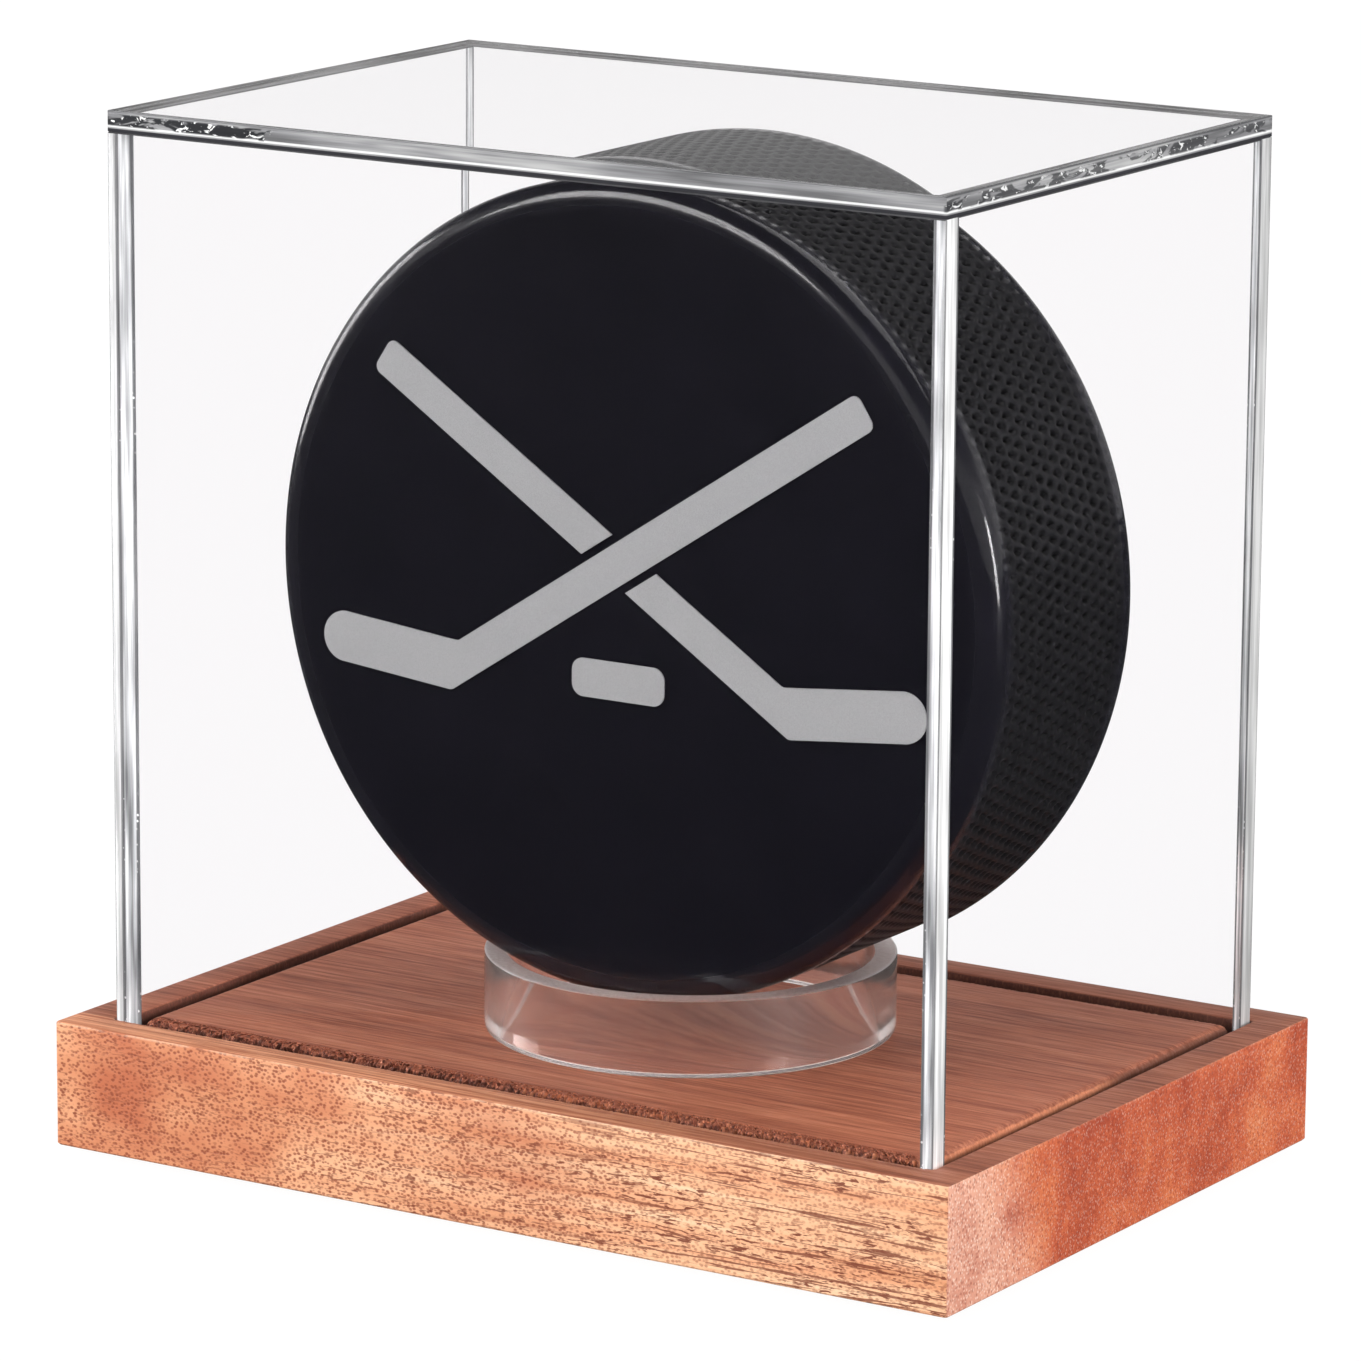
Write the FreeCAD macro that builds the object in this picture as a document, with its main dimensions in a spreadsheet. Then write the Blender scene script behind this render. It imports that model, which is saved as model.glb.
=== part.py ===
"""Puck display case: a routed wooden base, a lift-off acrylic cover glued from five panels,
a clear riser ring and the hockey puck that it shows.

Millimetres, +Z up, +X to the right, -Y to the front. The origin is on the ground, under the
middle of the base.
"""
import math
import os

import FreeCAD
import Part
import Sketcher

DRIVING = {
    # the board
    "base_width": 97.0,
    "base_depth": 67.0,
    "base_thick": 12.0,
    "rim_width": 3.8,
    "groove_width": 2.6,
    "groove_deep": 4.0,
    "cutter_corner": 0.8,
    "wood_round": 0.25,
    # the cover
    "sheet": 2.0,
    "cover_gap": 0.3,
    "cover_top": 98.8,
    "edge_bevel": 0.15,
    # the puck: the standard 3 inch by 1 inch
    "puck_dia": 76.2,
    "puck_thick": 25.4,
    "puck_round": 2.0,
    # the ring that the puck stands in
    "ring_dia": 38.6,
    "ring_wall": 2.1,
    "ring_high": 7.4,
    "ring_round": 0.25,
    "ring_shift": 1.2,
    "puck_gap": 0.1,
    # the pads under the board
    "pad_dia": 9.0,
    "pad_high": 1.0,
    "pad_inset": 9.5,
    "pad_round": 0.3,
    # the mark printed on the puck: two crossed sticks over a small puck
    "ink_thick": 0.15,
    "mark_lift": 3.0,
    "stick_lean": 57.0,
    "stick_width": 3.6,
    "stick_upper": 31.0,
    "stick_lower": 23.0,
    "blade_long": 12.0,
    "blade_high": 4.8,
    "blade_rise": 1.2,
    "mark_gap": 0.8,
    "mark_round": 0.8,
    "dot_wide": 10.0,
    "dot_high": 3.6,
    "dot_drop": 11.0,
}

DERIVED = {
    "base_top": "=pad_high + base_thick",
    "groove_floor": "=base_top - groove_deep",
    "slot_width": "=base_width - 2 * rim_width",
    "slot_depth": "=base_depth - 2 * rim_width",
    "plinth_width": "=slot_width - 2 * groove_width",
    "plinth_depth": "=slot_depth - 2 * groove_width",
    "cover_width": "=slot_width - 2 * cover_gap",
    "cover_depth": "=slot_depth - 2 * cover_gap",
    "wall_high": "=cover_top - sheet - groove_floor",
    "side_depth": "=cover_depth - 2 * sheet",
    "ring_bore": "=ring_dia - 2 * ring_wall",
    "ring_top": "=base_top + ring_high",
    "rest_half": "=puck_thick / 2 - puck_round",
    "rest_reach": "=sqrt((ring_bore / 2) ^ 2 - rest_half ^ 2)",
    "puck_axis": "=ring_top + sqrt((puck_dia / 2 + puck_gap) ^ 2 - rest_reach ^ 2)",
}

FRONT, BACK, LEFT, RIGHT = (0, -1), (0, 1), (-1, 0), (1, 0)
MAX_LABEL = 59

doc = FreeCAD.newDocument("puck_display_case")


def driving_sheet():
    """The spreadsheet that every size comes from."""
    cells = doc.addObject("Spreadsheet::Sheet", "sizes")
    rows = list(DRIVING.items()) + list(DERIVED.items())
    for row, (name, value) in enumerate(rows, start=1):
        cells.set(f"A{row}", name)
        cells.set(f"B{row}", str(value))
        cells.setAlias(f"B{row}", name)
    doc.recompute()
    return cells


sizes = driving_sheet()


def size(name):
    """A size from the sheet, for the places and tests that part.py works out itself."""
    return float(sizes.get(name))


def bind(obj, **rules):
    """Binds properties of an object to expressions over the sheet's aliases."""
    for prop, rule in rules.items():
        obj.setExpression(prop, rule)


def new_body(label, x="0", y="0", z="0"):
    """A body with a name of its own, placed by expressions over the sheet."""
    body = doc.addObject("PartDesign::Body", label)
    body.Label = label
    bind(body, **{"Placement.Base.x": x, "Placement.Base.y": y, "Placement.Base.z": z})
    return body


def new_sketch(body, name, plane, lift="0"):
    """A sketch on one of the body's own origin planes, lifted along that plane's normal."""
    sketch = body.newObject("Sketcher::SketchObject", name)
    origin_plane = [o for o in body.Origin.OriginFeatures if o.Role == plane][0]
    sketch.AttachmentSupport = [(origin_plane, "")]
    sketch.MapMode = "FlatFace"
    bind(sketch, **{"AttachmentOffset.Base.z": lift})
    return sketch


def add_rectangle(sketch, name, width, depth):
    """A rectangle centred on the sketch's origin, its two sides driven by the sheet."""
    half_w, half_d = 20.0, 10.0
    corners = [(-half_w, -half_d), (half_w, -half_d), (half_w, half_d), (-half_w, half_d)]
    first = sketch.GeometryCount
    for i in range(4):
        start = FreeCAD.Vector(*corners[i], 0)
        end = FreeCAD.Vector(*corners[(i + 1) % 4], 0)
        sketch.addGeometry(Part.LineSegment(start, end), False)
    for i in range(4):
        sketch.addConstraint(
            Sketcher.Constraint("Coincident", first + i, 2, first + (i + 1) % 4, 1)
        )
    for i in (0, 2):
        sketch.addConstraint(Sketcher.Constraint("Horizontal", first + i))
        sketch.addConstraint(Sketcher.Constraint("Vertical", first + i + 1))
    sketch.addConstraint(Sketcher.Constraint("Symmetric", first, 1, first + 1, 2, -1, 1))
    for edge, rule, tag in ((0, width, "wide"), (1, depth, "deep")):
        number = sketch.addConstraint(
            Sketcher.Constraint("Distance", first + edge, 1.0 + 10 * (2 - edge))
        )
        sketch.renameConstraint(number, f"{name}_{tag}")
        sketch.setExpression(f"Constraints.{name}_{tag}", rule)


def add_pad(body, sketch, name, length):
    """A pad of a sketch, its length driven by the sheet."""
    pad = body.newObject("PartDesign::Pad", name)
    pad.Profile = sketch
    bind(pad, Length=length)
    sketch.Visibility = False
    doc.recompute()
    return pad


def add_pocket(body, sketch, name, length):
    """A pocket of a sketch, checked to have cut something away."""
    before = body.Shape.Volume
    pocket = body.newObject("PartDesign::Pocket", name)
    pocket.Profile = sketch
    bind(pocket, Length=length)
    doc.recompute()
    if body.Shape.Volume > before - 1e-3:
        raise RuntimeError(f"{name} cut nothing")
    return pocket


def edge_names(feature, test):
    """Names of the feature's edges for which test(edge) is true."""
    names = [f"Edge{i}" for i, e in enumerate(feature.Shape.Edges, start=1) if test(e)]
    if not names:
        raise RuntimeError(f"no edge of {feature.Name} passes its test")
    return names


def near(value, target):
    return abs(value - target) < 1e-4


def soften(body, kind, name, feature, rule, test):
    """A Fillet or Chamfer on the edges of the last feature that pass the test."""
    dress = body.newObject(f"PartDesign::{kind}", name)
    dress.Base = (feature, edge_names(feature, test))
    bind(dress, **{"Radius" if kind == "Fillet" else "Size": rule})
    doc.recompute()
    return dress


def make_wooden_base():
    """One board: a rim, a routed groove for the cover's walls, and the plinth inside it."""
    body = new_body("wooden_base", z="sizes.pad_high")
    outline = new_sketch(body, "board_outline", "XY_Plane")
    add_rectangle(outline, "board", "sizes.base_width", "sizes.base_depth")
    board = add_pad(body, outline, "board", "sizes.base_thick")

    half_w, half_d = size("base_width") / 2, size("base_depth") / 2
    thick = size("base_thick")

    def outer_corner(edge):
        box = edge.BoundBox
        return box.ZLength > thick / 2 and near(abs(box.Center.x), half_w)

    corners = soften(body, "Fillet", "corner_round", board, "sizes.wood_round", outer_corner)

    groove = new_sketch(body, "groove_path", "XY_Plane", "sizes.base_thick")
    add_rectangle(groove, "slot", "sizes.slot_width", "sizes.slot_depth")
    add_rectangle(groove, "plinth", "sizes.plinth_width", "sizes.plinth_depth")
    cut = add_pocket(body, groove, "groove", "sizes.groove_deep")

    slot_w = size("slot_width") / 2

    def slot_corner(edge):
        box = edge.BoundBox
        return box.ZLength > 1 and near(abs(box.Center.x), slot_w) and near(box.ZMax, thick)

    routed = soften(body, "Fillet", "cutter_corner", cut, "sizes.cutter_corner", slot_corner)

    def outer_rim(edge):
        box = edge.BoundBox
        flat = box.ZLength < 1e-4
        outside = near(abs(box.Center.x), half_w) or near(abs(box.Center.y), half_d)
        return flat and outside and max(box.XLength, box.YLength) > 1

    soften(body, "Chamfer", "edge_ease", routed, "sizes.edge_bevel", outer_rim)
    return body


def make_wall(label, side):
    """One upright panel. Front and back run the full width and the side panels fit between."""
    run_x = side in (FRONT, BACK)
    across = "sizes.cover_depth" if run_x else "sizes.cover_width"
    away = side[1] if run_x else side[0]
    place = f"{away} * ({across} - sizes.sheet) / 2"
    body = new_body(
        label,
        x="0" if run_x else place,
        y=place if run_x else "0",
        z="sizes.groove_floor",
    )
    foot = new_sketch(body, f"{label}_foot", "XY_Plane")
    if run_x:
        add_rectangle(foot, "wall", "sizes.cover_width", "sizes.sheet")
    else:
        add_rectangle(foot, "wall", "sizes.sheet", "sizes.side_depth")
    wall = add_pad(body, foot, f"{label}_wall", "sizes.wall_high")
    half_sheet, high = size("sheet") / 2, size("wall_high")

    def outward_edge(edge):
        box = edge.BoundBox
        out = box.Center.y * away if run_x else box.Center.x * away
        upright = box.ZLength > high / 2 and run_x
        foot_edge = near(box.ZMax, 0) and max(box.XLength, box.YLength) > 2 * half_sheet
        return near(out, half_sheet) and (upright or foot_edge)

    soften(body, "Chamfer", f"{label}_bevel", wall, "sizes.edge_bevel", outward_edge)
    return body


def make_top():
    """The lid panel, glued over the four walls."""
    body = new_body("cover_top_panel", z="sizes.cover_top - sizes.sheet")
    outline = new_sketch(body, "top_outline", "XY_Plane")
    add_rectangle(outline, "lid", "sizes.cover_width", "sizes.cover_depth")
    lid = add_pad(body, outline, "lid", "sizes.sheet")
    high = size("sheet")

    def upper_edge(edge):
        return near(edge.BoundBox.ZMin, high)

    soften(body, "Chamfer", "lid_bevel", lid, "sizes.edge_bevel", upper_edge)
    return body


def add_circle(sketch, name, rule, guess):
    """A circle centred on the sketch's origin, its radius driven by the sheet."""
    centre, normal = FreeCAD.Vector(0, 0, 0), FreeCAD.Vector(0, 0, 1)
    index = sketch.addGeometry(Part.Circle(centre, normal, guess), False)
    sketch.addConstraint(Sketcher.Constraint("Coincident", index, 3, -1, 1))
    number = sketch.addConstraint(Sketcher.Constraint("Radius", index, guess))
    sketch.renameConstraint(number, name)
    sketch.setExpression(f"Constraints.{name}", rule)


def is_full_circle(edge):
    return isinstance(edge.Curve, Part.Circle) and len(edge.Vertexes) == 1


def make_ring():
    """The clear riser ring, a short length of tube that holds the puck up on its edge."""
    body = new_body("riser_ring", x="sizes.ring_shift", z="sizes.base_top")
    section = new_sketch(body, "ring_section", "XY_Plane")
    add_circle(section, "outside", "sizes.ring_dia / 2", 19.0)
    add_circle(section, "bore", "sizes.ring_bore / 2", 17.0)
    tube = add_pad(body, section, "tube", "sizes.ring_high")
    soften(body, "Fillet", "polished_edge", tube, "sizes.ring_round", is_full_circle)
    return body


def make_puck():
    """A standard puck, standing on its edge with its axis from front to back."""
    body = new_body("puck", x="sizes.ring_shift", z="sizes.puck_axis")
    disc = new_sketch(body, "disc", "XZ_Plane", "-sizes.puck_thick / 2")
    add_circle(disc, "edge", "sizes.puck_dia / 2", 38.0)
    rubber = add_pad(body, disc, "rubber", "sizes.puck_thick")
    soften(body, "Fillet", "moulded_edge", rubber, "sizes.puck_round", is_full_circle)
    return body


def ink(outline):
    """A face outlined in the XZ plane, raised towards the front by the ink's thickness."""
    return Part.Face(outline).extrude(FreeCAD.Vector(0, -size("ink_thick"), 0))


def stick(mirror):
    """A hockey stick whose shaft leans to the right, or to the left where mirror is -1."""
    lean = math.radians(size("stick_lean"))
    along = FreeCAD.Vector(math.sin(lean), 0, math.cos(lean))
    across = FreeCAD.Vector(math.cos(lean), 0, -math.sin(lean)) * (size("stick_width") / 2)
    heel = across - along * size("stick_lower")
    sole = FreeCAD.Vector(-size("blade_long"), 0, size("blade_rise"))
    toe = heel + sole
    toe_top = toe + FreeCAD.Vector(0, 0, size("blade_high"))
    nose = (toe + toe_top) / 2 - FreeCAD.Vector(size("blade_high") / 2, 0, 0)
    upper_side = -across
    gap = upper_side - toe_top
    reach = (gap.z * sole.x - gap.x * sole.z) / (along.x * sole.z - along.z * sole.x)
    notch = upper_side + along * reach
    end = along * size("stick_upper")
    turn = [notch, upper_side + end, across + end, heel, toe]
    flip = [FreeCAD.Vector(p.x * mirror, 0, p.z) for p in turn + [nose, toe_top]]
    edges = [Part.LineSegment(flip[i], flip[i + 1]).toShape() for i in range(4)]
    edges.append(Part.Arc(flip[4], flip[5], flip[6]).toShape())
    edges.append(Part.LineSegment(flip[6], flip[0]).toShape())
    solid = ink(Part.Wire(edges))
    sharp = [e for e in solid.Edges if e.BoundBox.YLength > size("ink_thick") / 2]
    corners = [e for e in sharp if not near(e.BoundBox.Center.x, flip[4].x)]
    corners = [e for e in corners if not near(e.BoundBox.Center.x, flip[6].x)]
    return solid.makeFillet(size("mark_round"), corners)


def make_mark():
    """The printed mark: crossed sticks, one passing over the other, above a small puck."""
    over, under = stick(1), stick(-1)
    lean = math.radians(size("stick_lean"))
    band = size("stick_width") + 2 * size("mark_gap")
    reach = 4 * size("stick_width")
    lane = Part.makeBox(band, 2, reach, FreeCAD.Vector(-band / 2, -1, -reach / 2))
    lane.rotate(FreeCAD.Vector(0, 0, 0), FreeCAD.Vector(0, 1, 0), math.degrees(lean))
    wide, high, drop = size("dot_wide"), size("dot_high"), size("dot_drop")
    corner = FreeCAD.Vector(-wide / 2, -size("ink_thick"), -drop - high / 2)
    dot = Part.makeBox(wide, size("ink_thick"), high, corner)
    ends = [e for e in dot.Edges if e.BoundBox.YLength > size("ink_thick") / 2]
    dot = dot.makeFillet(high / 3, ends)
    mark = doc.addObject("Part::Feature", "puck_print")
    mark.Label = "puck_print"
    mark.Shape = Part.makeCompound([over, under.cut(lane), dot])
    front = -size("puck_thick") / 2
    place = FreeCAD.Vector(size("ring_shift"), front, size("puck_axis") + size("mark_lift"))
    mark.Placement = FreeCAD.Placement(place, FreeCAD.Rotation())
    return mark


def make_foot(label, x_side, y_side):
    """A stick-on rubber pad under one corner of the board."""
    body = new_body(
        label,
        x=f"{x_side} * (sizes.base_width / 2 - sizes.pad_inset)",
        y=f"{y_side} * (sizes.base_depth / 2 - sizes.pad_inset)",
    )
    round_pad = new_sketch(body, f"{label}_round", "XY_Plane")
    add_circle(round_pad, "edge", "sizes.pad_dia / 2", 4.0)
    pad = add_pad(body, round_pad, f"{label}_rubber", "sizes.pad_high")

    def lower_edge(edge):
        return is_full_circle(edge) and near(edge.BoundBox.ZMax, 0)

    soften(body, "Fillet", f"{label}_edge", pad, "sizes.pad_round", lower_edge)
    return body


def make_all():
    """Every sub-part, in the order that the case is put together."""
    feet = [
        make_foot(f"foot_pad_{front_back}_{side}", x_side, y_side)
        for front_back, y_side in (("front", -1), ("back", 1))
        for side, x_side in (("left", -1), ("right", 1))
    ]
    walls = [
        make_wall("cover_front_panel", FRONT),
        make_wall("cover_back_panel", BACK),
        make_wall("cover_left_panel", LEFT),
        make_wall("cover_right_panel", RIGHT),
    ]
    shown = [make_ring(), make_puck(), make_mark()]
    return feet + [make_wooden_base()] + walls + [make_top()] + shown


def check(parts):
    """Stops if any object failed, or any sub-part's shape is missing or not valid."""
    for obj in doc.Objects:
        if "Invalid" in obj.State or "Error" in obj.State:
            raise RuntimeError(f"{obj.Label} failed: {obj.State}")
    for sub in parts:
        if sub.Shape.isNull() or not sub.Shape.isValid():
            raise RuntimeError(f"{sub.Label} has no valid shape")
        if len(sub.Label) > MAX_LABEL:
            raise RuntimeError(f"{sub.Label} is too long a name")


def write(parts):
    """One STEP file for each sub-part, named after it."""
    os.makedirs("parts", exist_ok=True)
    for sub in parts:
        sub.Shape.exportStep(f"parts/{sub.Label}.step")
        box = sub.Shape.BoundBox
        print(
            f"{sub.Label}: {len(sub.Shape.Solids)} solid, {sub.Shape.Volume:.1f} mm3,"
            f" x {box.XMin:.2f}..{box.XMax:.2f}, y {box.YMin:.2f}..{box.YMax:.2f},"
            f" z {box.ZMin:.2f}..{box.ZMax:.2f}"
        )


sub_parts = make_all()
doc.recompute()
check(sub_parts)
write(sub_parts)
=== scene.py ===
"""Looks of the puck display case: a routed hardwood base, a cemented acrylic cover, a clear
ring and the knurled rubber puck that stands in it.

Metres throughout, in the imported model's own frame: +Z up, -Y to the front.
"""
import math

import bmesh
import bpy
from mathutils import Matrix, Vector, noise


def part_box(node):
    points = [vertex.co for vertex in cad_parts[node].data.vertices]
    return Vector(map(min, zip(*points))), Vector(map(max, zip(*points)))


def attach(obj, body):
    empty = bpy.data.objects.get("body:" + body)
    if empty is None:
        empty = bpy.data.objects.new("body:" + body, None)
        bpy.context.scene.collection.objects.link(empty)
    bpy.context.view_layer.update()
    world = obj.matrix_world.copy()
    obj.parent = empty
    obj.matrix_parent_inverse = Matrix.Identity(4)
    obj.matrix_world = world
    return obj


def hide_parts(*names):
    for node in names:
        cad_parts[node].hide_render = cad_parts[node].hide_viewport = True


MM = 0.001
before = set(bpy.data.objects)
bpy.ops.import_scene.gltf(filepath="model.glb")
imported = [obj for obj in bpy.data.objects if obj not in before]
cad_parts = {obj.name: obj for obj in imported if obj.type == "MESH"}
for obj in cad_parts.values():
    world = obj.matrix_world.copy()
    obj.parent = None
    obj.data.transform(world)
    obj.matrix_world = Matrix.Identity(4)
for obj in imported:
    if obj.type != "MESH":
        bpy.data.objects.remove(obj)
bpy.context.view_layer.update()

# sizes that the frame's boxes don't give
GROOVE = 2.6 * MM
SLOT_GAP = 0.3 * MM
RING_WALL = 2.1 * MM
ACRYLIC_IOR = 1.49
# the air left where two pieces meet face to face, so that neither face hides the other
SEAM = 0.012 * MM
# a face whose normal reaches this along an axis is square to it
SQUARE = 0.99
# how finely the board's outline is divided on its long sides, on its ends and at each corner
BOARD_STEPS = (760, 420, 4)
RING_STEPS = 288
# the small rounding of the sheets' edges
SHEET_EDGE = 0.1 * MM

BOARD_LOW, BOARD_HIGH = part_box("wooden_base")
FRONT_LOW, FRONT_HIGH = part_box("cover_front_panel")
RING_LOW, RING_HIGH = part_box("riser_ring")
PUCK_LOW, PUCK_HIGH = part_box("puck")
PUCK_MIDDLE = [(a + b) / 2 for a, b in zip(PUCK_LOW, PUCK_HIGH)]
PUCK_RADIUS = (PUCK_HIGH[2] - PUCK_LOW[2]) / 2

# the moulded dimples: their spacing round the puck and across it, their depth, and the half
# width of the band that they fill
DIMPLE_PITCH = 1.4 * MM
DIMPLE_ROWS = 3.2 * MM
DIMPLE_DEPTH = 0.42 * MM
DIMPLE_BAND = 9.8 * MM


# ---------------------------------------------------------------- meshes

def new_piece(name, points, faces, materials, body, nodes=()):
    """A mesh piece that rides on a body and stands for CAD nodes."""
    mesh = bpy.data.meshes.new(name)
    mesh.from_pydata(points, [], faces)
    bm = bmesh.new()
    bm.from_mesh(mesh)
    bmesh.ops.recalc_face_normals(bm, faces=bm.faces)
    bm.to_mesh(mesh)
    bm.free()
    piece = bpy.data.objects.new(name, mesh)
    bpy.context.scene.collection.objects.link(piece)
    for material in materials:
        mesh.materials.append(material)
    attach(piece, body)
    if nodes:
        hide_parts(*nodes)
    return piece


def smooth(piece, angle=35):
    """Smooth shading, kept sharp where two faces meet at more than the angle in degrees."""
    piece.data.shade_smooth()
    piece.data.set_sharp_from_angle(angle=math.radians(angle))


def bridge(rings):
    """Quads between a list of equally long closed rings of point numbers."""
    faces = []
    for low, high in zip(rings, rings[1:]):
        count = len(low)
        for i in range(count):
            j = (i + 1) % count
            faces.append((low[i], low[j], high[j], high[i]))
    return faces


def lathe(profile, steps, centre):
    """Points and faces of a closed profile of (radius, height) turned about an upright axis."""
    points, rings = [], []
    for k in range(steps):
        turn = 2 * math.pi * k / steps
        ring = []
        for radius, height in profile:
            ring.append(len(points))
            spot = Vector((radius * math.cos(turn), radius * math.sin(turn), height))
            points.append(spot + Vector(centre))
        rings.append(ring)
    rings.append(rings[0])
    return points, bridge(rings)


def arc(centre, radii, start, end, steps):
    """Points of an elliptical arc from start to end degrees, as (x, y) pairs."""
    out = []
    for k in range(steps + 1):
        a = math.radians(start + (end - start) * k / steps)
        out.append((centre[0] + radii[0] * math.cos(a), centre[1] + radii[1] * math.sin(a)))
    return out


def rectangle_ring(half_x, half_y, corner, step_x, step_y, step_corner):
    """A rounded rectangle as (point, outward direction) entries."""
    ring = []
    inner_x, inner_y = half_x - corner, half_y - corner
    quarters = ((1, -1, -90), (1, 1, 0), (-1, 1, 90), (-1, -1, 180))
    for index, (sx, sy, start) in enumerate(quarters):
        for k in range(step_corner + 1):
            a = math.radians(start + 90 * k / step_corner)
            way = Vector((math.cos(a), math.sin(a), 0))
            point = Vector((sx * inner_x, sy * inner_y, 0)) + way * corner
            ring.append((point, way))
        steps = step_y if index % 2 == 0 else step_x
        end = math.radians(start + 90)
        way = Vector((round(math.cos(end)), round(math.sin(end)), 0))
        nsx, nsy, _ = quarters[(index + 1) % 4]
        first = Vector((sx * inner_x, sy * inner_y, 0)) + way * corner
        last = Vector((nsx * inner_x, nsy * inner_y, 0)) + way * corner
        for k in range(1, steps):
            ring.append((first.lerp(last, k / steps), way))
    return ring


# ---------------------------------------------------------------- materials

class Shader:
    """Builds one material or world. Inputs are plain values or sockets of other nodes."""

    def __init__(self, name, world=False):
        self.owner = (bpy.data.worlds if world else bpy.data.materials).new(name)
        self.owner.use_nodes = True
        self.tree = self.owner.node_tree
        self.tree.nodes.clear()
        self.output = self.add("OutputWorld" if world else "OutputMaterial")

    def add(self, kind, inputs=None, **settings):
        made = self.tree.nodes.new("ShaderNode" + kind)
        for key, value in settings.items():
            setattr(made, key, value)
        for key, value in (inputs or {}).items():
            socket = made.inputs[key]
            if isinstance(value, bpy.types.NodeSocket):
                self.tree.links.new(value, socket)
            else:
                socket.default_value = value
        return made

    def math(self, operation, a, b=0.0):
        return self.add("Math", {0: a, 1: b}, operation=operation).outputs[0]

    def times(self, *factors):
        product = factors[0]
        for factor in factors[1:]:
            product = self.math("MULTIPLY", product, factor)
        return product

    def off(self, value, centre):
        """How far a value is from a centre, either way."""
        return self.math("ABSOLUTE", self.math("SUBTRACT", value, centre))

    def coords(self, scale=(1, 1, 1), shift=(0, 0, 0)):
        """Object coordinates in millimetres, stretched by a scale for each axis."""
        place = self.add("TexCoord").outputs["Object"]
        to_mm = tuple(s / MM for s in scale)
        made = self.add("Mapping", {"Vector": place, "Scale": to_mm, "Location": shift})
        return made.outputs[0]

    def noise(self, vector, scale, detail=2.0, roughness=0.5, distortion=0.0):
        made = self.add(
            "TexNoise",
            {
                "Vector": vector,
                "Scale": scale,
                "Detail": detail,
                "Roughness": roughness,
                "Distortion": distortion,
            },
        )
        return made.outputs["Fac"]

    def dots(self, vector, scale, inner, outer, scatter=1.0):
        """Scattered round dots: 1 in the middle of each, 0 beyond the outer radius."""
        made = self.add("TexVoronoi", {"Vector": vector, "Scale": scale, "Randomness": scatter})
        return self.ramp(made.outputs["Distance"], inner, outer, 1.0, 0.0)

    def ramp(self, factor, low, high, out_low=0.0, out_high=1.0):
        """Maps low..high to out_low..out_high smoothly, clamped."""
        made = self.add(
            "MapRange",
            {"Value": factor, 1: low, 2: high, 3: out_low, 4: out_high},
            interpolation_type="SMOOTHSTEP",
        )
        return made.outputs[0]

    def colours(self, factor, stops):
        """A colour ramp with (place, (r, g, b)) stops."""
        made = self.add("ValToRGB", {"Fac": factor})
        band = made.color_ramp
        while len(band.elements) < len(stops):
            band.elements.new(0.5)
        for element, (place, colour) in zip(band.elements, stops):
            element.position = place
            element.color = (*colour, 1)
        return made.outputs[0]

    def mix(self, factor, a, b, mode="MIX"):
        made = self.add("Mix", {0: factor, 6: a, 7: b}, data_type="RGBA", blend_type=mode)
        return made.outputs[2]

    def bump(self, height, distance, strength=1.0):
        inputs = {"Height": height, "Distance": distance, "Strength": strength}
        return self.add("Bump", inputs).outputs[0]

    def finish(self, shader):
        self.tree.links.new(shader.outputs[0], self.output.inputs["Surface"])
        return self.owner


def rgb(red, green, blue):
    return (red, green, blue, 1.0)


def wood_front(s):
    """Colour and pores of the long sides: peach to the right, redder and mottled to the left."""
    along = s.add("SeparateXYZ", {0: s.coords()}).outputs[0]
    streak = s.noise(s.coords((0.04, 1, 1)), 0.55, 4.0, 0.6, 0.5)
    cloud = s.noise(s.coords((0.6, 1, 1), (11, 4, 2)), 0.11, 3.0, 0.55)
    peach = s.colours(
        streak,
        [
            (0.28, (0.68, 0.28, 0.13)),
            (0.44, (0.82, 0.39, 0.21)),
            (0.60, (0.93, 0.53, 0.31)),
            (0.76, (0.98, 0.65, 0.42)),
        ],
    )
    mottled = s.colours(
        cloud,
        [(0.32, (0.52, 0.150, 0.068)), (0.48, (0.67, 0.262, 0.127)), (0.66, (0.82, 0.40, 0.215))],
    )
    drift = s.math("ADD", along, s.times(s.math("SUBTRACT", cloud, 0.5), 60.0))
    base = s.mix(s.ramp(drift, -28.0, 22.0), mottled, peach)
    uneven = s.noise(s.coords((0.8, 1, 1), (2, 8, 3)), 0.9, 3.0, 0.6)
    specks = s.dots(s.coords((0.72, 1, 1), (2, 8, 3)), 3.0, 0.26, 0.56)
    fewer_right = s.ramp(drift, -10.0, 34.0, 1.0, 0.62)
    specks = s.times(specks, s.ramp(uneven, 0.36, 0.56, 0.55, 1.0), fewer_right)
    dashes = s.ramp(s.noise(s.coords((0.17, 1, 1)), 4.0, 2.5, 0.6, 0.4), 0.55, 0.60)
    crowd = s.ramp(s.noise(s.coords((0.10, 0.7, 0.7), (6, 1, 4)), 0.55, 2.0, 0.5), 0.34, 0.52)
    dashes = s.times(dashes, crowd, s.ramp(drift, -30.0, 20.0, 0.5, 1.0))
    lines = s.ramp(s.noise(s.coords((0.035, 1, 1), (1, 9, 4)), 2.1, 4.0, 0.6, 1.6), 0.575, 0.61)
    lines = s.times(lines, s.ramp(drift, -12.0, 25.0), 0.9)
    cuts = s.math("MAXIMUM", dashes, lines)
    base = s.mix(s.times(specks, 0.86), base, rgb(0.27, 0.060, 0.026))
    base = s.mix(s.times(cuts, 0.94), base, rgb(0.19, 0.040, 0.018))
    return base, s.math("MAXIMUM", specks, cuts)


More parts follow.
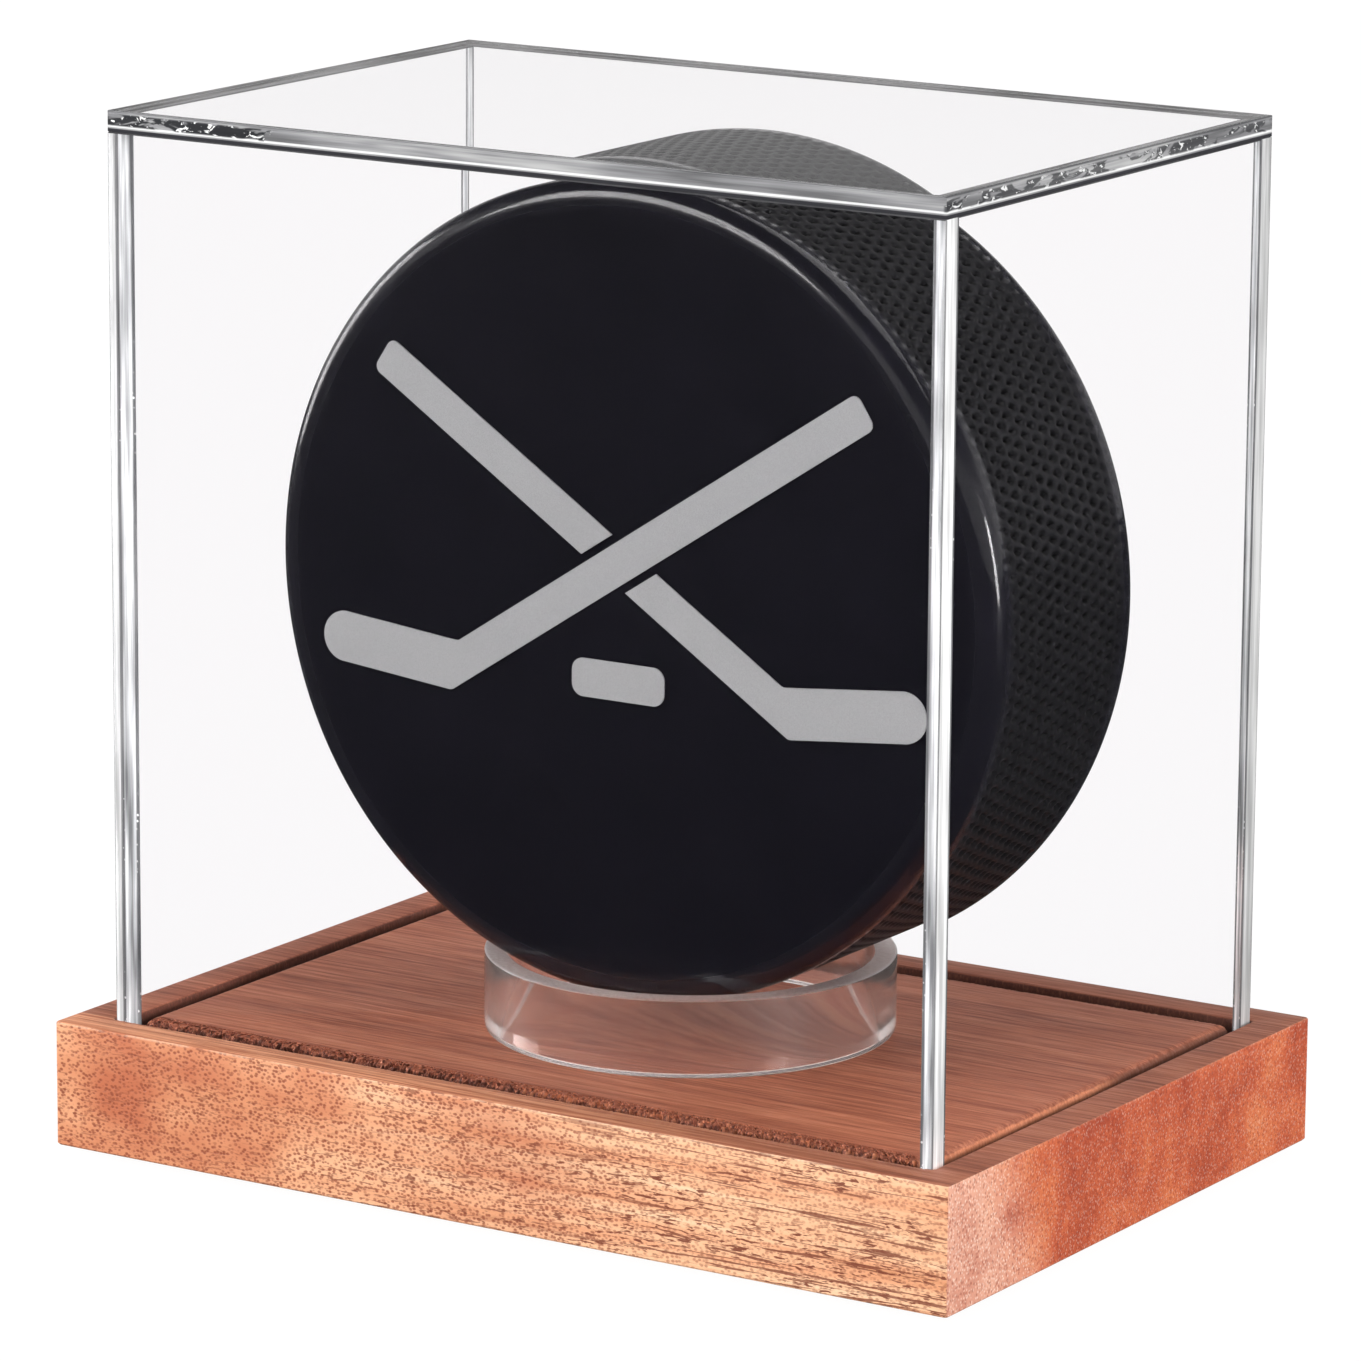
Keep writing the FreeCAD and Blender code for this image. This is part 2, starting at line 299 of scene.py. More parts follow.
def wood_end(s):
    """Colour and flecks of the sawn ends: deep red, with a painted sheen near the front corner."""
    place = s.add("SeparateXYZ", {0: s.coords()})
    cloud = s.noise(s.coords((1, 1, 0.9), (5, 1, 9)), 0.14, 3.0, 0.55, 0.3)
    fine = s.noise(s.coords((1, 1, 0.8), (3, 3, 3)), 2.6, 4.0, 0.7)
    base = s.colours(
        s.math("ADD", s.times(cloud, 0.62), s.times(fine, 0.38)),
        [
            (0.37, (0.37, 0.056, 0.022)),
            (0.48, (0.53, 0.102, 0.038)),
            (0.58, (0.63, 0.155, 0.057)),
            (0.70, (0.72, 0.240, 0.100)),
        ],
    )
    # painted sheen: a pale patch on the end near the front corner, where more of the pale flecks
    # show too
    slanted = s.math("ADD", place.outputs[1], s.times(place.outputs[2], 0.45))
    corner = BOARD_LOW[1] / MM
    near_front = s.ramp(slanted, corner + 8, corner + 21, 1.0, 0.0)
    painted_sheen = s.times(near_front, s.ramp(cloud, 0.30, 0.60, 0.45, 1.0))
    base = s.mix(s.times(painted_sheen, 0.60), base, rgb(0.90, 0.57, 0.43))
    flecks = s.dots(s.coords((1, 1, 0.8)), 3.5, 0.14, 0.46)
    share = s.ramp(painted_sheen, 0.0, 0.8, 0.22, 0.66)
    base = s.mix(s.times(flecks, share), base, rgb(0.98, 0.76, 0.63))
    pits = s.dots(s.coords((1, 1, 0.8), (7, 7, 7)), 2.9, 0.20, 0.46)
    return s.mix(s.times(pits, 0.55), base, rgb(0.31, 0.050, 0.020)), flecks


def wood_top(s):
    """Colour and lines of the upper faces: mauve brown, darker than the long sides partly as
    painted shade, the front rim lighter to the left.
    """
    place = s.add("SeparateXYZ", {0: s.coords()})
    lines = s.noise(s.coords((0.03, 1, 1), (0, 2, 5)), 2.0, 5.0, 0.7, 0.25)
    broad = s.noise(s.coords((0.035, 1, 1), (8, 2, 5)), 0.22, 3.0, 0.6, 0.5)
    tone = s.math("ADD", s.times(lines, 0.66), s.times(broad, 0.34))
    hair = s.noise(s.coords((0.045, 1, 1), (3, 7, 1)), 6.5, 2.0, 0.6)
    tone = s.math("ADD", tone, s.times(s.math("SUBTRACT", hair, 0.5), 0.30))
    base = s.colours(
        tone,
        [
            (0.35, (0.143, 0.038, 0.018)),
            (0.45, (0.228, 0.067, 0.034)),
            (0.53, (0.306, 0.099, 0.052)),
            (0.66, (0.434, 0.167, 0.093)),
        ],
    )
    rim_edge = FRONT_LOW[1] / MM
    front_rim = s.ramp(place.outputs[1], rim_edge - 0.6, rim_edge, 1.0, 0.0)
    to_left = s.ramp(place.outputs[0], -20.0, 44.0, 0.68, 0.04)
    rim = s.mix(s.ramp(lines, 0.38, 0.62), rgb(0.47, 0.142, 0.062), rgb(0.90, 0.42, 0.22))
    return s.mix(s.times(front_rim, to_left), base, rim), lines


def wood_material():
    """Reddish open-grained hardwood with its grain along X, torn fibre in the groove, painted shade
    on the groove's walls and floor and painted light on its right end.
    """
    s = Shader("hardwood")
    facing = s.add("SeparateXYZ", {0: s.add("TexCoord").outputs["Normal"]})
    end_face = s.ramp(s.math("ABSOLUTE", facing.outputs[0]), 0.55, 0.8)
    top_face = s.ramp(facing.outputs[2], 0.55, 0.85)
    front, pores = wood_front(s)
    end, flecks = wood_end(s)
    top, lines = wood_top(s)
    side = s.mix(end_face, front, end)

    # inside is 1 on the groove's walls and what they enclose
    place = s.add("SeparateXYZ", {0: s.coords()})
    rim_x, rim_y = (FRONT_HIGH[0] + SLOT_GAP) / MM, (SLOT_GAP - FRONT_LOW[1]) / MM
    inside_x = s.math("LESS_THAN", s.math("ABSOLUTE", place.outputs[0]), rim_x + 1.5)
    inside_y = s.math("LESS_THAN", s.math("ABSOLUTE", place.outputs[1]), rim_y + 1.5)
    above = s.math("GREATER_THAN", place.outputs[2], FRONT_LOW[2] / MM - 1.0)
    inside = s.times(inside_x, inside_y, above)
    outside = s.math("SUBTRACT", 1.0, inside)
    off_top = s.math("SUBTRACT", 1.0, top_face)

    # torn fibre on the groove's walls, with painted light at the right end and painted shade at the
    # back and left
    top_z = BOARD_HIGH[2] / MM
    fibres = s.noise(s.coords((1, 1, 0.35), (4, 4, 4)), 4.0, 3.0, 0.7)
    torn = s.colours(
        fibres,
        [(0.38, (0.066, 0.017, 0.010)), (0.53, (0.25, 0.063, 0.033)), (0.68, (0.76, 0.31, 0.175))],
    )
    painted_lit_end = s.times(end_face, s.math("GREATER_THAN", place.outputs[0], 0.0))
    torn = s.mix(painted_lit_end, torn, s.mix(fibres, rgb(0.25, 0.070, 0.033), rgb(0.85, 0.34, 0.17)))
    other_end = s.math("SUBTRACT", end_face, painted_lit_end)
    painted_shade_far = s.math("MAXIMUM", s.ramp(place.outputs[1], 0.0, 8.0), other_end)
    torn = s.mix(s.times(painted_shade_far, 0.85), torn, rgb(0.125, 0.042, 0.026))
    # painted shade: the walls go dark towards the groove's floor
    above_painted_depth_shade = s.ramp(place.outputs[2], top_z - 1.3, top_z - 0.25)
    torn = s.mix(above_painted_depth_shade, rgb(0.055, 0.018, 0.011), torn)
    side = s.mix(inside, side, torn)
    # painted shade: the groove's floor is painted dark
    above_painted_floor_shade = s.ramp(place.outputs[2], top_z - 0.9, top_z - 0.1)
    top = s.mix(above_painted_floor_shade, s.mix(0.5, torn, rgb(0.06, 0.02, 0.012)), top)
    # the upper faces take darker colours than the long sides: partly the wood's tone, partly
    # painted shade
    base = s.mix(top_face, side, top)

    # the outer upper edge is worn pale in places
    at_edge = s.ramp(place.outputs[2], top_z - 0.35, top_z - 0.05)
    chip = s.ramp(s.noise(s.coords((0.3, 0.3, 1), (2, 2, 2)), 1.4, 3.0, 0.6), 0.40, 0.60)
    less_on_end = s.ramp(end_face, 0.0, 1.0, 0.5, 0.12)
    worn = s.times(at_edge, chip, outside, off_top, less_on_end)
    base = s.mix(worn, base, rgb(0.95, 0.62, 0.42))

    height = s.math("ADD", s.times(lines, 0.5), s.times(flecks, 0.2))
    height = s.math("SUBTRACT", height, s.times(pores, off_top, outside))
    return s.finish(
        s.add(
            "BsdfPrincipled",
            {
                "Base Color": base,
                "Roughness": s.ramp(lines, 0.35, 0.65, 0.62, 0.46),
                "Specular IOR Level": 0.3,
                "Normal": s.bump(height, 0.05 * MM, 0.6),
            },
        )
    )


def let_lamps_through(s, body, colour):
    """The finished material of a clear shader, clear to lamp light as well."""
    clear = s.add("BsdfTransparent", {"Color": rgb(*colour)})
    shadow = s.add("LightPath").outputs["Is Shadow Ray"]
    return s.finish(s.add("MixShader", {0: shadow, 1: body.outputs[0], 2: clear.outputs[0]}))


def sheet_material():
    """The sheets' faces: clear acrylic that mirrors little head on and fully at a glance."""
    s = Shader("clear_acrylic")
    colour = (0.979, 0.975, 0.978)
    glance = s.add("Fresnel", {"IOR": ACRYLIC_IOR}).outputs[0]
    bent = s.add("BsdfRefraction", {"Color": rgb(*colour), "Roughness": 0.0, "IOR": ACRYLIC_IOR})
    mirror = s.add("BsdfGlossy", {"Color": rgb(1, 1, 1), "Roughness": 0.0})
    share = s.math("POWER", glance, 3.0)
    body = s.add("MixShader", {0: share, 1: bent.outputs[0], 2: mirror.outputs[0]})
    return let_lamps_through(s, body, colour)


def tube_material():
    """The ring's extruded tube: clear but a little milky, with faint drawing marks."""
    s = Shader("ring_acrylic")
    marks = s.noise(s.coords((0.3, 0.3, 1.2)), 1.0, 4.0, 0.6)
    body = s.add(
        "BsdfPrincipled",
        {
            "Base Color": rgb(1.0, 0.90, 0.86),
            "Roughness": 0.06,
            "IOR": ACRYLIC_IOR,
            "Specular Tint": rgb(0.2, 0.2, 0.2),
            "Transmission Weight": 0.988,
            "Coat Weight": 0.24,
            "Coat Roughness": 0.38,
            "Normal": s.bump(marks, 0.005 * MM),
        },
    )
    return let_lamps_through(s, body, (0.98, 0.96, 0.96))


def frosted_material():
    """The ring's cut edges: frosted white by the saw."""
    s = Shader("frosted_edge")
    grain = s.noise(s.coords(), 3.0, 3.0, 0.6)
    body = s.add(
        "BsdfPrincipled",
        {
            "Base Color": s.colours(grain, [(0.3, (0.62, 0.57, 0.55)), (0.65, (0.93, 0.90, 0.89))]),
            "Roughness": 0.42,
            "IOR": ACRYLIC_IOR,
            "Transmission Weight": 0.95,
            "Normal": s.bump(grain, 0.02 * MM, 0.5),
        },
    )
    return let_lamps_through(s, body, (0.9, 0.9, 0.9))


def edge_place(s, along, across, shift=(0, 0, 0)):
    """A place on a sheet's narrow edge: millimetres along it and its share of the thickness."""
    spot = s.add("UVMap", uv_map="edge").outputs[0]
    inputs = {"Vector": spot, "Scale": (along, across, 1), "Location": shift}
    return s.add("Mapping", inputs).outputs[0]


def edge_streaks(s):
    """Tone of an edge's long streaks, and the place across it from 0 to 1."""
    fine = s.noise(edge_place(s, 0.04, 3.0), 1.0, 3.0, 0.6, 0.2)
    slow = s.noise(edge_place(s, 0.07, 0.8, (5, 5, 0)), 1.0, 2.0, 0.5)
    tone = s.math("ADD", s.times(fine, 0.6), s.times(slow, 0.4))
    return tone, s.add("SeparateXYZ", {0: edge_place(s, 1.0, 1.0)}).outputs[1]


def edge_shader(s, milk_and_painted_reflection, tone, clear, glow, shine=0.5):
    """An edge in a milky colour, part clear, with a painted glow: it emits light though it is no
    lamp, standing in for the light the sheet pipes to it.
    """
    body = s.add(
        "BsdfPrincipled",
        {
            "Base Color": milk_and_painted_reflection,
            "Roughness": 0.1,
            "IOR": ACRYLIC_IOR,
            "Transmission Weight": clear,
            "Specular IOR Level": shine,
            # painted glow: emission on the edge, though it is no lamp
            "Emission Color": milk_and_painted_reflection,
            "Emission Strength": glow,
            "Normal": s.bump(tone, 0.01 * MM, 0.5),
        },
    )
    return let_lamps_through(s, body, (0.9, 0.9, 0.9))


def polished_material(name, dark, pale, clear, glow, shine=0.5):
    """A sheet's edge streaked between a dark and a pale grey, with thin dark outlines: the greys
    and outlines are painted reflection of what the edge mirrors.
    """
    s = Shader(name)
    tone, across = edge_streaks(s)
    painted_outline = s.ramp(s.off(across, 0.5), 0.40, 0.46)
    middle = (dark + pale) / 2
    milk_and_painted_reflection = s.colours(tone, [(0.40, (dark,) * 3), (0.49, (middle,) * 3), (0.57, (pale,) * 3)])
    milk_and_painted_reflection = s.mix(s.times(painted_outline, 0.75), milk_and_painted_reflection, rgb(0.04, 0.04, 0.045))
    return edge_shader(s, milk_and_painted_reflection, tone, clear, glow, shine)


def gapped_material():
    """The lid's front and right edges: a painted highlight line, a painted seam shadow under it,
    and dark gaps where cement is missing, with painted glints in them.
    """
    s = Shader("gapped_edge")
    tone, across = edge_streaks(s)
    painted_outline = s.ramp(s.off(across, 0.5), 0.40, 0.46)
    greys = [(0.38, (0.15, 0.15, 0.155)), (0.50, (0.29, 0.29, 0.30)), (0.62, (0.50, 0.50, 0.50))]
    milk_and_painted_reflection = s.colours(tone, greys)
    # painted highlight: a white line along the edge
    painted_highlight_line = s.ramp(s.off(across, 0.29), 0.03, 0.07, 0.8, 0.0)
    milk_and_painted_reflection = s.mix(painted_highlight_line, milk_and_painted_reflection, rgb(0.96, 0.96, 0.96))
    # painted shadow of the seam below the line, joined to the painted outlines
    painted_seam_shadow = s.ramp(across, 0.15, 0.20, 1.0, 0.0)
    painted_dark_lines = s.math("MAXIMUM", painted_seam_shadow, s.times(painted_outline, 0.8))
    milk_and_painted_reflection = s.mix(painted_dark_lines, milk_and_painted_reflection, rgb(0.035, 0.035, 0.04))
    # the gaps are in the front edge's left fifth and all along the right edge
    patch = s.noise(edge_place(s, 0.20, 1.1, (2, 3, 0)), 1.0, 3.0, 0.6, 1.0)
    place = s.add("SeparateXYZ", {0: s.coords()})
    left = s.ramp(place.outputs[0], -27.0, -25.0, 1.0, 0.0)
    right = s.ramp(place.outputs[0], 44.0, 44.3, 0.0, 0.8)
    band = s.ramp(s.off(across, 0.58), 0.22, 0.32, 1.0, 0.0)
    gap = s.times(s.ramp(patch, 0.43, 0.50), s.math("MAXIMUM", left, right), band)
    milk_and_painted_reflection = s.mix(s.times(gap, 0.95), milk_and_painted_reflection, rgb(0.020, 0.021, 0.024))
    # painted glints in the gaps
    painted_glint_noise = s.noise(edge_place(s, 0.9, 3.0, (7, 1, 0)), 1.0, 3.0, 0.65, 0.8)
    milk_and_painted_reflection = s.mix(s.times(s.ramp(painted_glint_noise, 0.57, 0.62), gap), milk_and_painted_reflection, rgb(1, 1, 1))
    # painted glow, weak on these edges
    return edge_shader(s, milk_and_painted_reflection, tone, clear=0.1, glow=0.05, shine=0.3)


def cemented_material():
    """An edge glued to another sheet: grey, with beads of trapped air along its sides."""
    s = Shader("cemented_edge")
    tone, across = edge_streaks(s)
    side = s.off(across, 0.5)
    greys = [(0.38, (0.18, 0.185, 0.19)), (0.49, (0.52, 0.53, 0.54)), (0.58, (0.95, 0.96, 0.97))]
    grey = s.colours(tone, greys)
    beads = s.dots(edge_place(s, 1.8, 3.4), 1.0, 0.18, 0.30, 0.9)
    stretch = s.ramp(s.noise(edge_place(s, 0.05, 0.0, (3, 3, 0)), 1.0, 2.0, 0.5), 0.52, 0.60)
    at_side = s.ramp(side, 0.30, 0.38)
    grey = s.mix(s.times(at_side, 0.8), grey, rgb(0.05, 0.05, 0.055))
    grey = s.mix(s.times(beads, stretch, at_side), grey, rgb(1, 1, 1))
    # painted glow, as on the polished edges
    return edge_shader(s, grey, tone, clear=0.2, glow=0.22)


def rubber_material():
    """Black vulcanised rubber: satin faces, a glossier rolled edge and a dimpled band, its dimples
    painted darker with depth as painted shade.
    """
    s = Shader("puck_rubber")
    grain = s.noise(s.coords(), 6.0, 3.0, 0.6)
    cloud = s.noise(s.coords((1, 1, 1), (4, 4, 4)), 0.12, 3.0, 0.5)
    colour = s.colours(cloud, [(0.35, (0.0026, 0.0025, 0.0045)), (0.7, (0.0036, 0.0034, 0.0058))])
    place = s.add("SeparateXYZ", {0: s.coords()})
    knurled = s.ramp(s.math("ABSOLUTE", place.outputs[1]), 9.6, 10.4, 1.0, 0.0)
    # painted shade: the dimples get darker the deeper they are
    depth = s.add("Attribute", attribute_name="dimple").outputs["Fac"]
    land = s.mix(depth, rgb(0.0062, 0.0061, 0.0073), rgb(0.0008, 0.0008, 0.0009))
    colour = s.mix(knurled, colour, land)
    across = s.math("SUBTRACT", place.outputs[0], PUCK_MIDDLE[0] / MM)
    up = s.math("SUBTRACT", place.outputs[2], PUCK_MIDDLE[2] / MM)
    from_axis = s.add("CombineXYZ", {0: across, 1: up}).outputs[0]
    radius = s.add("VectorMath", {0: from_axis}, operation="LENGTH").outputs["Value"]
    rolled = s.ramp(radius, PUCK_RADIUS / MM - 3.0, PUCK_RADIUS / MM - 2.0)
    gloss = s.math("MAXIMUM", s.times(rolled, s.ramp(knurled, 0.0, 1.0, 0.8, 0.05)), 0.05)
    return s.finish(
        s.add(
            "BsdfPrincipled",
            {
                "Base Color": colour,
                "Roughness": s.ramp(grain, 0.3, 0.75, 0.36, 0.46),
                "Specular IOR Level": 0.06,
                "Coat Weight": gloss,
                "Coat Roughness": 0.10,
                "Normal": s.bump(grain, 0.012 * MM, 0.3),
            },
        )
    )


def ink_material():
    """Flat light grey screen-printed ink."""
    s = Shader("print_ink")
    grain = s.noise(s.coords(), 9.0, 2.0, 0.6)
    colour = s.colours(grain, [(0.3, (0.225, 0.225, 0.23)), (0.7, (0.26, 0.26, 0.265))])
    return s.finish(
        s.add(
            "BsdfPrincipled",
            {
                "Base Color": colour,
                "Roughness": 0.55,
                "Specular IOR Level": 0.3,
                "Normal": s.bump(grain, 0.01 * MM, 0.4),
            },
        )
    )


def pad_material():
    """Soft dark rubber of the pads."""
    s = Shader("pad_rubber")
    grain = s.noise(s.coords(), 3.0, 2.0, 0.5)
    colour = s.colours(grain, [(0.3, (0.020, 0.020, 0.020)), (0.7, (0.034, 0.034, 0.034))])
    return s.finish(
        s.add(
            "BsdfPrincipled",
            {"Base Color": colour, "Roughness": 0.75, "Normal": s.bump(grain, 0.05 * MM, 0.6)},
        )
    )


WOOD = wood_material()
ACRYLIC = sheet_material()
# the same polished edge in lit and shaded copies: brightest on the front uprights and the sheets'
# bottoms, darker on the back uprights and darkest on the lid's left and back edges, as painted
# light and shade
POLISHED = polished_material("polished_edge", 0.55, 1.0, clear=0.2, glow=0.24)
PAINTED_SHADE_BACK_EDGE = polished_material("soft_edge", 0.38, 0.66, clear=0.1, glow=0.08, shine=0.2)
JOINED = polished_material("joined_edge", 0.06, 0.24, clear=0.02, glow=0.0, shine=0.0)
DIM = polished_material("dim_edge", 0.08, 0.26, clear=0.02, glow=0.0, shine=0.0)
GAPPED = gapped_material()
CEMENTED = cemented_material()
RING = tube_material()
FROSTED = frosted_material()
RUBBER = rubber_material()
INK = ink_material()
PAD = pad_material()


# ---------------------------------------------------------------- pieces

def fray(point, size, strength):
    """A repeatable random push for torn wood fibre, from 0 to strength."""
    value = noise.fractal(Vector(point) / size, 1.0, 2.0, 3)
    return max(0.0, 0.5 + 0.9 * value) * strength


def make_board():
    """The base as one skin: outer faces, rim, groove and plinth, with eased and torn edges."""
    half_x, half_y = BOARD_HIGH[0], BOARD_HIGH[1]
    floor_z = FRONT_LOW[2]
    slot = half_x - (FRONT_HIGH[0] + SLOT_GAP)
    plinth = slot + GROOVE
    low, top = BOARD_LOW[2], BOARD_HIGH[2]
    # roundings: the outer edges, the plinth's upper edge and the groove's outer edge
    ease, brow, lip = 0.18 * MM, 0.85 * MM, 0.25 * MM
    # each row: inset from the board's outline, height, corner radius and torn depth in mm
    rows = [(2 * MM, low, 0.3 * MM, 0), (ease, low, 0.3 * MM, 0)]
    rows += [(0, low + ease, 0.3 * MM, 0)]
    rows += [(0, low + (top - low) * k / 3, 0.3 * MM, 0) for k in range(1, 3)]
    for inset, z in arc((ease, top - ease), (ease, ease), 180, 90, 3):
        rows.append((inset, z, 0.3 * MM, 0))
    rows += [(slot / 2, top, 0.5 * MM, 0)]
    for inset, z in arc((slot - lip, top - lip), (lip, lip), 90, 0, 3):
        rows.append((inset, z, 0.8 * MM, 0.12))
    for k in range(1, 5):
        rows.append((slot, top - lip - (top - lip - floor_z) * k / 5, 0.8 * MM, 0.05))
    rows += [(slot, floor_z, 0.8 * MM, 0), (plinth, floor_z, 0.12 * MM, 0)]
    for k in range(1, 6):
        z = floor_z + (top - brow - floor_z) * k / 6
        rows.append((plinth, z, 0.12 * MM, 0.25 * k / 6))
    for inset, z in arc((plinth + brow, top - brow), (brow, brow), 180, 90, 8):
        rows.append((inset, z, 0.15 * MM, 0.45))
    rows.append((plinth + brow * 1.25, top, 0.15 * MM, 0.15))
    rows.append((plinth + brow * 1.6, top, 0.15 * MM, 0))

    points, rings = [], []
    for inset, z, corner, tear in rows:
        ring = []
        painted_outline = rectangle_ring(half_x - inset, half_y - inset, corner, *BOARD_STEPS)
        for point, way in painted_outline:
            spot = Vector((point.x, point.y, z))
            if tear:
                # more on the long sides than the ends, and less at the back than the front
                comb = Vector((spot.x, spot.y, spot.z * 0.3))
                push = fray(comb, 0.26 * MM, tear * MM) * (0.12 + 0.88 * abs(way.y))
                push *= 0.35 if way.y > 0.5 else 1.0
                inward = way if inset < plinth - MM else -way
                spot += inward * push - Vector((0, 0, 0.35 * push))
            ring.append(len(points))
            points.append(spot)
        rings.append(ring)
    faces = bridge(rings)
    faces.append(tuple(rings[-1]))
    faces.append(tuple(reversed(rings[0])))
    board = new_piece(
        "routed_board", points, faces, [WOOD], "base", ["wooden_base"]
    )
    smooth(board, 40)


def make_panel(node, edges):
    """One acrylic sheet. edges gives each narrow side's material, keyed by (axis, way)."""
    low, high = (Vector(corner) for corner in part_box(node))
    for (axis, way), material in edges.items():
        if material in (CEMENTED, JOINED) or (axis, way) == (2, -1):
            (high if way > 0 else low)[axis] -= way * SEAM
    span = high - low
    thin = min(range(3), key=lambda i: span[i])
    bm = bmesh.new()
    edge_uv = bm.loops.layers.uv.new("edge")
    bmesh.ops.create_cube(bm, size=1.0)
    for vert in bm.verts:
        vert.co = (low + high) / 2 + vert.co * span
    bmesh.ops.bevel(
        bm, geom=bm.edges[:], offset=SHEET_EDGE, segments=2, profile=0.6, affect="EDGES"
    )
    materials = [ACRYLIC] + list(dict.fromkeys(edges.values()))
    for face in bm.faces:
        if abs(face.normal[thin]) > SQUARE:
            continue
        out = max((i for i in range(3) if i != thin), key=lambda i: abs(face.normal[i]))
        along = 3 - thin - out
        side = (out, round(math.copysign(1, face.normal[out])))
        face.material_index = materials.index(edges[side])
        for loop in face.loops:
            spot = loop.vert.co
            loop[edge_uv].uv = (spot[along] / MM, (spot[thin] - low[thin]) / span[thin])
    mesh = bpy.data.meshes.new(f"{node}_sheet")
    bm.to_mesh(mesh)
    bm.free()
    sheet = bpy.data.objects.new(f"{node}_sheet", mesh)
    bpy.context.scene.collection.objects.link(sheet)
    for material in materials:
        mesh.materials.append(material)
    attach(sheet, "cover")
    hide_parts(node)


def make_cover():
    """The five sheets. The lid sits on the walls, and the side walls between front and back."""
    left, right, front, back, down, up = (0, -1), (0, 1), (1, -1), (1, 1), (2, -1), (2, 1)
    for node, upright in (("cover_front_panel", POLISHED), ("cover_back_panel", PAINTED_SHADE_BACK_EDGE)):
        make_panel(node, {left: upright, right: upright, down: POLISHED, up: JOINED})
    for node in ("cover_left_panel", "cover_right_panel"):
        make_panel(node, {front: CEMENTED, back: CEMENTED, down: POLISHED, up: JOINED})
    make_panel("cover_top_panel", {left: DIM, back: DIM, front: GAPPED, right: GAPPED})


def make_ring():
    """The riser ring, turned, with small rounded edges."""
    outer = (RING_HIGH[0] - RING_LOW[0]) / 2
    inner = outer - RING_WALL
    centre = ((RING_LOW[0] + RING_HIGH[0]) / 2, (RING_LOW[1] + RING_HIGH[1]) / 2, 0)
    low, high, soft = RING_LOW[2] + SEAM, RING_HIGH[2], 0.25 * MM
    profile = arc((outer - soft, low + soft), (soft, soft), -90, 0, 4)
    profile += arc((outer - soft, high - soft), (soft, soft), 0, 90, 4)
    profile += arc((inner + soft, high - soft), (soft, soft), 90, 180, 4)
    profile += arc((inner + soft, low + soft), (soft, soft), 180, 270, 4)
    points, faces = lathe(profile, RING_STEPS, centre)
    ring = new_piece(
        "clear_ring", points, faces, [RING, FROSTED], "ring", ["riser_ring"]
    )
    for face in ring.data.polygons:
        face.material_index = 1 if abs(face.normal.z) > 0.3 else 0
    smooth(ring, 30)


def dimple(phase, across):
    """Depth of the dimples, from 0 to 1. The phase counts dimples round the puck."""
    fade = min(1.0, max(0.0, (DIMPLE_BAND - abs(across)) / (0.5 * MM)))
    wave = math.cos(2 * math.pi * phase) * math.cos(2 * math.pi * across / DIMPLE_ROWS)
    land = 0.32
    return fade * (max(0.0, wave - land) / (1 - land)) ** 0.7


def make_puck():
    """The puck: rolled edges, and a band of staggered dimples round its side."""
    radius, centre = PUCK_RADIUS, PUCK_MIDDLE
    half = (PUCK_HIGH[1] - PUCK_LOW[1]) / 2
    face_roll, side_roll = 1.9 * MM, 1.7 * MM
    steps_across, per_dimple = 68, 6
    dimples = round(2 * math.pi * radius / DIMPLE_PITCH)
    steps = dimples * per_dimple
    corner = arc((radius - face_roll, side_roll - half), (face_roll, side_roll), -90, 0, 10)
    front = [(radius * 0.45, -half), (radius * 0.75, -half)] + corner
    rows = [DIMPLE_BAND * (2 * k / steps_across - 1) for k in range(steps_across + 1)]
    side = [(radius, along) for along in rows]
    back = [(r, -along) for r, along in reversed(front)]
    profile = front + side + back
    points, rings, depths = [], [], []
    for r, along in profile:
        ring = []
        for k in range(steps):
            turn = 2 * math.pi * k / steps
            depth = dimple(k / per_dimple, along)
            depths.append(depth)
            here = r - depth * DIMPLE_DEPTH
            ring.append(len(points))
            spot = Vector((here * math.cos(turn), along, here * math.sin(turn)))
            points.append(spot + Vector(centre))
        rings.append(ring)
    faces = [tuple(reversed(f)) for f in bridge(rings)]
    faces.append(tuple(rings[0]))
    faces.append(tuple(reversed(rings[-1])))
    puck = new_piece("knurled_puck", points, faces, [RUBBER], "puck", ["puck"])
    puck.data.attributes.new("dimple", "FLOAT", "POINT").data.foreach_set("value", depths)
    smooth(puck, 50)


def paint(node, material):
    """Gives a CAD node's object one material."""
    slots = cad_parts[node].data.materials
    slots.clear()
    slots.append(material)


def ease_print():
    """Softens the edges of the raised ink."""
    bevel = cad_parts["puck_print"].modifiers.new("soft_edge", "BEVEL")
    bevel.width = 0.05 * MM
    bevel.segments = 2
    bevel.limit_method = "ANGLE"
    bevel.angle_limit = math.radians(50)


# ---------------------------------------------------------------- studio

def seen_directly(s):
    """1 for what is looked at, also through clear sheets, and 0 for light and reflections."""
    path = s.add("LightPath")
    bounced = s.math("ADD", path.outputs["Diffuse Depth"], path.outputs["Glossy Depth"])
    return s.math("LESS_THAN", bounced, 0.5)


